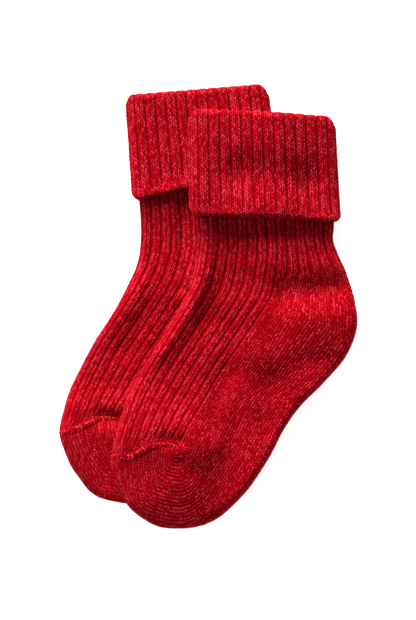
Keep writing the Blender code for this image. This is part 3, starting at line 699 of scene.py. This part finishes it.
def cuff_section(depth, stand, fine):
    """The cuff's section, as distances down from the crest, distances out and rib shares.

    It runs from the lip inside the mouth, over the crest and down the outside, where it
    swells, to the hem, and a little way back up the inside.
    """
    middle = CUFF_OUT - CREST
    turn = np.linspace(-math.pi / 2, math.pi / 2, round(math.pi * CREST / CUFF_COURSE * fine))
    turn = turn[:, None]
    crest = [
        CREST - CREST * np.cos(turn) + 0 * depth,
        middle + CREST * np.sin(turn) + 0 * depth,
        crest_rib(CREST - CREST * np.cos(turn)) * eased((turn + 1.2) / 1.6) + 0 * depth,
    ]
    part = np.linspace(0, 1, round((CUFF_DEPTH - CREST) / CUFF_COURSE * fine) + 1)[1:-1, None]
    down = CREST + part * (depth - HEM_LONG - CREST)
    share = down / depth
    swell = np.clip((share - SWELL_FROM) / (1 - SWELL_FROM), 0, 1) ** 1.3
    sunk = eased((down - depth + HEM_FADE) / (HEM_FADE - HEM_LONG))
    ribs = 1 - (1 - HEM_RIB) * sunk
    outside = [down, CUFF_OUT + stand * swell, ribs * crest_rib(down)]
    hem_out = CUFF_OUT - HEM_ROUND + stand
    turn = np.linspace(math.pi / 2, -math.pi / 2, round(4 * fine) + 1)
    turn = turn[:, None]
    hem = [
        depth - HEM_LONG * (1 - np.cos(turn)),
        hem_out + HEM_ROUND * np.sin(turn),
        HEM_RIB * eased((turn + 0.7) / 1.5) + 0 * depth,
    ]
    back = np.array([0.93, 0.84, 0.7, 0.5])[:, None]
    inside = [
        back * depth,
        SLOT + 0.9 * stand * eased((back - 0.35) / 0.4),
        0 * back * depth,
    ]
    lip = [LIP + 0 * depth[None], -LEG_WALL + 0 * depth[None], 0 * depth[None]]
    parts = (lip, crest, outside, hem, inside)
    return [np.concatenate([part[k] for part in parts]) for k in range(3)]


def cuff_grid(sock, wales, fine):
    short, stand = hem_at(sock.hem, wales)
    crest = corner_drop(wales, sock.corners.left_crest, sock.corners.right_crest)
    short = short + corner_drop(wales, sock.corners.left_hem, sock.corners.right_hem)
    down, out, ribbed = cuff_section(CUFF_DEPTH - short, stand, fine)
    down = down + crest * (1 - down / (CUFF_DEPTH - short))
    row = down / CUFF_DEPTH * CUFF_ROWS
    way = sock.way(row, np.broadcast_to(wales, row.shape), CUFF_OUT)
    points = sock.place(row, way, out)
    run = run_of(np.stack([down, out], -1)).mean(axis=1, keepdims=True)
    return make_grid(points, wales, run / CUFF_COURSE, ribbed)


def scatter(i, j, seed):
    """A number from 0 to 1 for each pair of whole numbers, with no pattern to it."""
    wave = np.sin(i * 12.9898 + j * 78.233 + seed * 37.719) * 43758.5453
    return wave - np.floor(wave)


def rib_form(wale):
    """0 on top of a rib, as at each fold, and -1 in the groove between two."""
    return np.abs(np.cos(math.pi * wale / RIB_WALES)) ** GROOVE_SHAPE - 1


def spread_wale(wale, ribbed):
    """The wale as the eye counts it: a rib's wales widen over the one between two ribs."""
    rib = np.round(wale / RIB_WALES) * RIB_WALES
    return rib + (wale - rib) / (1 + RIB_SPREAD * ribbed)


def stitch_height(wale, course, high):
    """Height of the yarn over the cloth's ground: legs that lean to and fro, as Vs do."""
    leg = np.floor(wale)
    in_rib = wale - np.round(wale / RIB_WALES) * RIB_WALES
    slanted = course + SLANT * np.abs(np.mod(in_rib + 1, 2) - 1)
    size = 1 - UNEVEN + 2 * UNEVEN * scatter(leg, np.floor(slanted), 2)
    wave = 0.5 - 0.5 * np.cos(2 * math.pi * slanted)
    ridge = np.abs(np.sin(math.pi * wale)) ** 0.8
    return high * size * ridge * (1 - COURSE_SHARE + COURSE_SHARE * wave)


def drape_over(points, level, slope, rounding):
    """Height of cloth laid over these points, as a function of x and y.

    The cloth stays level for a distance past each point and comes down at a slope from
    there. The heights are then averaged over a disc, which rounds the cloth's bends.
    """
    top = points[:, 2].max() + DRAPE_CLEAR
    reach = level + top / slope
    pad = reach + 2 * rounding
    low = points[:, :2].min(axis=0) - pad
    size = np.ceil((points[:, :2].max(axis=0) + pad - low) / DRAPE_CELL).astype(int) + 1
    cell = np.rint((points[:, :2] - low) / DRAPE_CELL).astype(int)
    under = np.zeros(size)
    np.maximum.at(under, (cell[:, 0], cell[:, 1]), points[:, 2] + DRAPE_CLEAR)
    heights = under
    for i, j, away in disc_cells(reach):
        fall = slope * max(away - level, 0)
        heights = np.maximum(heights, np.roll(under, (i, j), (0, 1)) - fall)
    near = disc_cells(rounding)
    heights = np.mean([np.roll(heights, (i, j), (0, 1)) for i, j, _ in near], axis=0)

    def height(x, y):
        place = (np.stack([x, y], -1) - low) / DRAPE_CELL
        place = np.clip(place, 0, np.array(size) - 1.001)
        corner = np.floor(place).astype(int)
        i, j = corner[..., 0], corner[..., 1]
        u, v = place[..., 0] - i, place[..., 1] - j
        return (
            heights[i, j] * (1 - u) * (1 - v)
            + heights[i + 1, j] * u * (1 - v)
            + heights[i, j + 1] * (1 - u) * v
            + heights[i + 1, j + 1] * u * v
        )

    return height


def disc_cells(reach):
    """The cells of a disc round a cell, and how far away each is."""
    count = int(reach / DRAPE_CELL)
    cells = [(i, j) for i in range(-count, count + 1) for j in range(-count, count + 1)]
    cells = [(i, j, DRAPE_CELL * math.hypot(i, j)) for i, j in cells]
    return [(i, j, away) for i, j, away in cells if away <= reach + 0.5]


def base_for_upper(points):
    """What the upper sock lies on, with a wider slope under its stiff cuff."""
    foot = drape_over(points, FOOT_REACH, FOOT_SLOPE, FOOT_ROUND)
    cuff = drape_over(points, CUFF_LEVEL, CUFF_SLOPE, CUFF_ROUND)

    def height(x, y):
        stiff = eased((y - STIFFER_FROM) / (STIFFER_TO - STIFFER_FROM))
        return foot(x, y) * (1 - stiff) + cuff(x, y) * stiff

    return height


def grid_faces(grids):
    """Welded points of some grids: which grid points to keep, and the faces over them."""
    points = np.concatenate([grid.points.reshape(-1, 3) for grid in grids])
    _, kept, weld = np.unique(points.round(3), axis=0, return_index=True, return_inverse=True)
    weld = weld.reshape(-1)
    faces = []
    start = 0
    for grid in grids:
        rows, columns = grid.wale.shape
        number = weld[start : start + rows * columns].reshape(rows, columns)
        corners = [number[:-1, :-1], number[1:, :-1], number[1:, 1:], number[:-1, 1:]]
        faces.append(np.stack(corners, -1).reshape(-1, 4))
        start += rows * columns
    return kept, np.concatenate(faces)


def new_mesh(name, points, quads):
    """A smooth mesh from points in millimetres. Quads with two equal corners are triangles."""
    same = [quads[:, k] == quads[:, (k + 1) % 4] for k in range(4)]
    repeats = np.sum(same, axis=0)
    whole = quads[repeats == 0]
    whole = whole[(whole[:, 0] != whole[:, 2]) & (whole[:, 1] != whole[:, 3])]
    thin = [np.delete(quads[(repeats == 1) & same[k]], k, axis=1) for k in range(4)]
    thin = np.concatenate(thin)
    thin = thin[(thin[:, 0] != thin[:, 1]) & (thin[:, 1] != thin[:, 2])]
    thin = thin[thin[:, 0] != thin[:, 2]]
    corners = np.concatenate([whole.reshape(-1), thin.reshape(-1)])
    sizes = np.concatenate([np.full(len(whole), 4), np.full(len(thin), 3)])
    mesh = bpy.data.meshes.new(name)
    mesh.vertices.add(len(points))
    mesh.vertices.foreach_set("co", (points * METRES).reshape(-1))
    mesh.loops.add(len(corners))
    mesh.loops.foreach_set("vertex_index", corners)
    mesh.polygons.add(len(sizes))
    mesh.polygons.foreach_set("loop_start", np.concatenate([[0], np.cumsum(sizes)[:-1]]))
    mesh.update(calc_edges=True)
    mesh.polygons.foreach_set("use_smooth", np.ones(len(sizes), bool))
    return mesh


def knit(name, grids, rib_high, stitch_high, material, nodes):
    """One piece of cloth: its grids with ribs and stitches raised from them."""
    kept, quads = grid_faces(grids)
    points = np.concatenate([grid.points.reshape(-1, 3) for grid in grids])[kept]
    wale, course, ribbed = (
        np.concatenate([grid[part].reshape(-1) for grid in grids])[kept] for part in (1, 2, 3)
    )
    mesh = new_mesh(name, points, quads)
    normals = np.zeros(len(points) * 3)
    mesh.vertex_normals.foreach_get("vector", normals)
    normals = normals.reshape(-1, 3)
    rib = rib_high * ribbed * rib_form(wale)
    wale = spread_wale(wale, ribbed)
    sunk = stitch_high * np.clip(-normals[:, 2], 0, 1)
    lift = rib + stitch_height(wale, course, stitch_high) - sunk
    knitted = points + normals * lift[:, None]
    mesh.vertices.foreach_set("co", (knitted * METRES).reshape(-1))
    mesh.update()
    attribute = mesh.attributes.new("knit", "FLOAT_VECTOR", "POINT")
    attribute.data.foreach_set("vector", np.stack([wale, course, ribbed], -1).reshape(-1))
    mesh.materials.append(material)
    piece = bpy.data.objects.new(name, mesh)
    bpy.context.scene.collection.objects.link(piece)
    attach(piece, "root")
    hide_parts(*nodes)
    return piece, knitted


def seam_grid(sock, fine):
    """The toe seam: a low ridge of linked loops along the seam line, tapered at its ends."""
    row, way = sock.find(sock.seam)
    spine = sock.place(row, way)
    run = run_of(spine[:, None])[:, 0]
    count = round(run[-1] / SEAM_LOOP)
    at = np.linspace(0, run[-1], count * 2 * fine + 1)
    row = np.interp(at, run, row)[:, None]
    way = np.interp(at, run, way)[:, None]
    spine = sock.place(row, way)[:, 0]
    out = sock.place(row, way, 1)[:, 0] - spine
    out /= np.linalg.norm(out, axis=1)[:, None]
    side = np.cross(out, np.gradient(spine, axis=0))
    side /= np.linalg.norm(side, axis=1)[:, None]
    taper = np.sin(np.linspace(SEAM_END, math.pi - SEAM_END, len(spine)))[:, None] ** 0.5
    turn = np.linspace(0, math.pi, 4 * fine + 1)[None]
    loop = 0.7 + 0.3 * np.abs(np.sin(math.pi * at / SEAM_LOOP))[:, None]
    across = -np.cos(turn) * SEAM_WIDE / 2 * taper * (0.8 + 0.2 * loop)
    high = SEAM_LOW + np.sin(turn) * (SEAM_HIGH * taper - SEAM_LOW) * loop
    points = spine[:, None] + side[:, None] * across[..., None] + out[:, None] * high[..., None]
    return make_grid(points, 2 * turn / math.pi, (at / SEAM_LOOP)[:, None], 0)


def make_sock(sock, face_end, looks):
    """The pieces of one sock. The wales up to face_end are knitted finely."""
    fine, step = FULL_STEPS
    first = -FOLD_WALES
    instep = np.arange(first, SOLE_START + step / 2, step)
    sole = np.arange(SOLE_START, face_end + step / 2, step)
    under_sole = np.append(np.arange(face_end, WALES - SOLE_START, 1.0), WALES - SOLE_START)
    under_instep = np.append(np.arange(WALES - SOLE_START, WALES + first, 1.0), WALES + first)
    cuff_face = np.arange(first, FACE_WALES + FOLD_WALES + step / 2, step)
    cuff_under = np.arange(FACE_WALES + FOLD_WALES, WALES + first + 0.5, 1.0)
    node = f"{sock.name}_sock"
    leg = [
        instep_grid(sock, instep, fine),
        instep_grid(sock, under_instep, 1),
        leg_grid(sock, sole, fine),
        leg_grid(sock, under_sole, 1),
        hidden_leg_grid(sock),
    ]
    foot = [
        *heel_grids(sock, sole, fine),
        *heel_grids(sock, under_sole, 1),
        sole_grid(sock, sole, fine),
        sole_grid(sock, under_sole, 1),
    ]
    foot += [toe_grid(sock, sole, TOE_SHARE * fine), toe_grid(sock, under_sole, 1)]
    cuff = [cuff_grid(sock, cuff_face, fine), cuff_grid(sock, cuff_under, 1)]
    made = [
        knit(f"{sock.name}_leg_cloth", leg, LEG_RIB, PLAIN_HIGH, looks.leg, [node]),
        knit(f"{sock.name}_foot_cloth", foot, LEG_RIB, PLAIN_HIGH, looks.foot, [node]),
        knit(
            f"{sock.name}_cuff_cloth", cuff, CUFF_RIB, KNIT_HIGH, looks.cuff,
            [f"{sock.name}_cuff"],
        ),
        knit(
            f"{sock.name}_seam_thread", [seam_grid(sock, fine)], 0, SEAM_THREAD, looks.seam,
            [f"{sock.name}_toe_seam"],
        ),
    ]
    return np.concatenate([points for _, points in made])


class Nodes:
    """Short calls for the nodes of one material. A value is a number, a tuple or a socket."""

    def __init__(self, material):
        material.use_nodes = True
        self.tree = material.node_tree
        self.shader = self.tree.nodes["Principled BSDF"]

    def put(self, value, socket):
        if isinstance(value, bpy.types.NodeSocket):
            self.tree.links.new(value, socket)
        else:
            socket.default_value = value

    def make(self, kind, *values, **settings):
        node = self.tree.nodes.new(kind)
        for key, value in settings.items():
            setattr(node, key, value)
        for value, socket in zip(values, node.inputs, strict=False):
            if value is not None:
                self.put(value, socket)
        return node

    def math(self, operation, *values):
        return self.make("ShaderNodeMath", *values, operation=operation).outputs[0]

    def spread(self, value, low, high, new_low, new_high):
        """A value's range moved to another one, with soft ends."""
        values = (value, low, high, new_low, new_high)
        node = self.make("ShaderNodeMapRange", *values, interpolation_type="SMOOTHSTEP")
        return node.outputs[0]

    def mix(self, share, start, end, blend="MIX"):
        node = self.make("ShaderNodeMix", data_type="RGBA", blend_type=blend)
        self.put(share, node.inputs[0])
        self.put(start, node.inputs[6])
        self.put(end, node.inputs[7])
        return node.outputs[2]

    def point(self, x, y, z):
        return self.make("ShaderNodeCombineXYZ", x, y, z).outputs[0]


def wool_material(name, look):
    material = bpy.data.materials.new(name)
    n = Nodes(material)
    knit_at = n.make("ShaderNodeAttribute", attribute_name="knit").outputs["Vector"]
    parts = n.make("ShaderNodeSeparateXYZ", knit_at)
    wale, course, ribbed = parts.outputs
    in_rib = n.math("WRAP", wale, RIB_WALES / 2, -RIB_WALES / 2)
    slanted = n.math("MULTIPLY_ADD", n.math("PINGPONG", in_rib, 1), SLANT, course)
    ridge = n.math("ABSOLUTE", n.math("SINE", n.math("MULTIPLY", wale, math.pi)))
    middle = n.math("COSINE", n.math("MULTIPLY", in_rib, math.pi))
    wave = n.math("COSINE", n.math("MULTIPLY", slanted, 2 * math.pi))
    number = n.point(n.math("FLOOR", wale), n.math("FLOOR", slanted), look.seed)
    scatter = n.make("ShaderNodeTexWhiteNoise", number, noise_dimensions="3D")
    strand = n.make("ShaderNodeSeparateColor", scatter.outputs["Color"]).outputs
    along_wale = n.math("MULTIPLY", slanted, FIBRE_COURSES)
    fibre_at = n.point(n.math("MULTIPLY", wale, FIBRE_WALES), along_wale, 0)
    fibre = n.make("ShaderNodeTexNoise", fibre_at, None, 1.0, 3.0, 0.6).outputs[0]
    where = n.make("ShaderNodeTexCoord").outputs["Object"]
    patch = n.make("ShaderNodeTexNoise", where, None, PATCH_FINE, 3.0, 0.6).outputs[0]
    # Painted shade: groove darkens the grooves between ribs, and parting darkens each V's middle
    # line, where its two legs part, and lightens the lines between two Vs.
    groove = n.spread(n.math("ABSOLUTE", in_rib), GROOVE_FROM, GROOVE_TO, 0, 1)
    groove = n.math("MULTIPLY", groove, ribbed)
    parting = n.math("MULTIPLY", middle, ribbed)

    # Painted shade and light after the yarn's relief: darker in the gaps between its legs (ridge),
    # between courses (wave), in the rib grooves and down each V's middle, lighter on the crests.
    light = n.math("MULTIPLY_ADD", ridge, look.leg_line, 1 - 0.64 * look.leg_line)
    darker = [(wave, 0.5 * look.stroke), (groove, look.groove), (parting, look.parting)]
    for value, share in darker:
        light = n.math("MULTIPLY", light, n.math("MULTIPLY_ADD", value, -share, 1))
    uneven = [
        (strand[0], 0, 1, look.strand), (fibre, 0.3, 0.7, look.fibre), (patch, 0.3, 0.7, look.patch),
    ]
    for value, low, high, share in uneven:
        light = n.math("MULTIPLY", light, n.spread(value, low, high, 1 - share, 1 + share))
    # The lightness runs from dark through middle to bright: dark colours the deepest painted shade,
    # and bright colours the painted light on the crests together with the yarn's lightest strands.
    deep = n.mix(n.spread(light, 0.0, 1.0, 0, 1), look.dark, look.middle)
    bright = n.spread(light, 1.0, 2.2, 0, 1)
    colour = n.mix(bright, deep, look.bright)
    # Painted highlight: a pale pink glint of sheen on the brightest parts of some stitches, picked
    # at random.
    fleck = n.math("MULTIPLY", n.spread(strand[1], look.fleck_from, 1, 0, 1), bright)
    colour = n.mix(n.math("MULTIPLY", fleck, look.fleck), colour, look.pale)
    n.put(colour, n.shader.inputs["Base Color"])
    bump = n.make("ShaderNodeBump")
    bump.inputs["Strength"].default_value = look.bump
    bump.inputs["Distance"].default_value = BUMP_DEEP
    n.put(light, bump.inputs["Height"])
    n.put(bump.outputs[0], n.shader.inputs["Normal"])
    n.shader.inputs["Roughness"].default_value = ROUGHNESS
    n.shader.inputs["Specular IOR Level"].default_value = look.specular
    n.shader.inputs["Sheen Weight"].default_value = look.sheen
    n.shader.inputs["Sheen Roughness"].default_value = SHEEN_ROUGHNESS
    n.shader.inputs["Sheen Tint"].default_value = look.sheen_tint
    return material


def add_light(name, place, size, power, aim=(0, 0, 0)):
    data = bpy.data.lights.new(name, "AREA")
    data.shape = "DISK"
    data.size = size
    data.energy = power
    light = bpy.data.objects.new(name, data)
    light.location = place
    run = Vector(aim) - Vector(place)
    light.rotation_euler = run.to_track_quat("-Z", "Y").to_euler()
    bpy.context.scene.collection.objects.link(light)
    return light


def add_camera():
    high = PHOTO_HIGH * MM_A_PIXEL
    data = bpy.data.cameras.new("camera")
    data.sensor_width = 36
    data.lens = 36 * CAMERA_UP / high
    data.clip_start = 0.05
    camera = bpy.data.objects.new("camera", data)
    across = (PHOTO_WIDE / 2 - CENTRE_X) * MM_A_PIXEL
    along_y = (CENTRE_Y - PHOTO_HIGH / 2) * MM_A_PIXEL
    camera.location = (across * METRES, along_y * METRES, CAMERA_UP * METRES)
    bpy.context.scene.collection.objects.link(camera)
    bpy.context.scene.camera = camera


def add_floor():
    bpy.ops.mesh.primitive_plane_add(size=6, location=(0, 0, -0.0003))
    floor = bpy.context.object
    floor.name = "floor"
    material = bpy.data.materials.new("floor")
    material.use_nodes = True
    shader = material.node_tree.nodes["Principled BSDF"]
    shader.inputs["Base Color"].default_value = (0.9, 0.9, 0.9, 1)
    shader.inputs["Roughness"].default_value = 0.9
    shader.inputs["Emission Color"].default_value = (1, 1, 1, 1)
    shader.inputs["Emission Strength"].default_value = FLOOR_GLOW
    floor.data.materials.append(material)


def add_world():
    world = bpy.data.worlds.new("studio")
    world.use_nodes = True
    background = world.node_tree.nodes["Background"]
    background.inputs["Color"].default_value = (1, 1, 1, 1)
    background.inputs["Strength"].default_value = WORLD_LIGHT
    bpy.context.scene.world = world


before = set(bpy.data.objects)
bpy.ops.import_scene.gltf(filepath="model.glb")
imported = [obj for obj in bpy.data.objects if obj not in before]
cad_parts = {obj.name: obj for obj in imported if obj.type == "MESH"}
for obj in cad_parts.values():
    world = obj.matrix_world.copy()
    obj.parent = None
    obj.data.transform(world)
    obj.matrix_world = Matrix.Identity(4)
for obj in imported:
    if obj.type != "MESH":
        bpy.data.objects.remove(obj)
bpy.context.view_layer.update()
looks = Looks(
    wool_material("leg_knit", WOOL),
    wool_material("foot_knit", PLAIN_WOOL),
    wool_material("cuff_knit", CUFF_WOOL),
    wool_material("seam_knit", THREAD),
)
lower = Sock(
    "lower", LOWER_CHORDS, LOWER_FOLDS, LOWER_HEM, LOWER_CORNERS, LOWER_SEAM, LOWER_GORE,
    LOWER_RIB_END, lambda x, y: 0 * x,
)
lower_points = make_sock(lower, LOWER_FACE_END, looks)
upper = Sock(
    "upper", UPPER_CHORDS, UPPER_FOLDS, UPPER_HEM, UPPER_CORNERS, UPPER_SEAM, UPPER_GORE,
    UPPER_RIB_END, base_for_upper(lower_points),
)
make_sock(
    upper, UPPER_FACE_END, looks,
)
add_floor()
add_world()
add_light("key", KEY_PLACE, KEY_SIZE, KEY_POWER)
add_light("side", SIDE_PLACE, SIDE_SIZE, SIDE_POWER)
add_camera()
bpy.context.scene.view_settings.view_transform = "Standard"
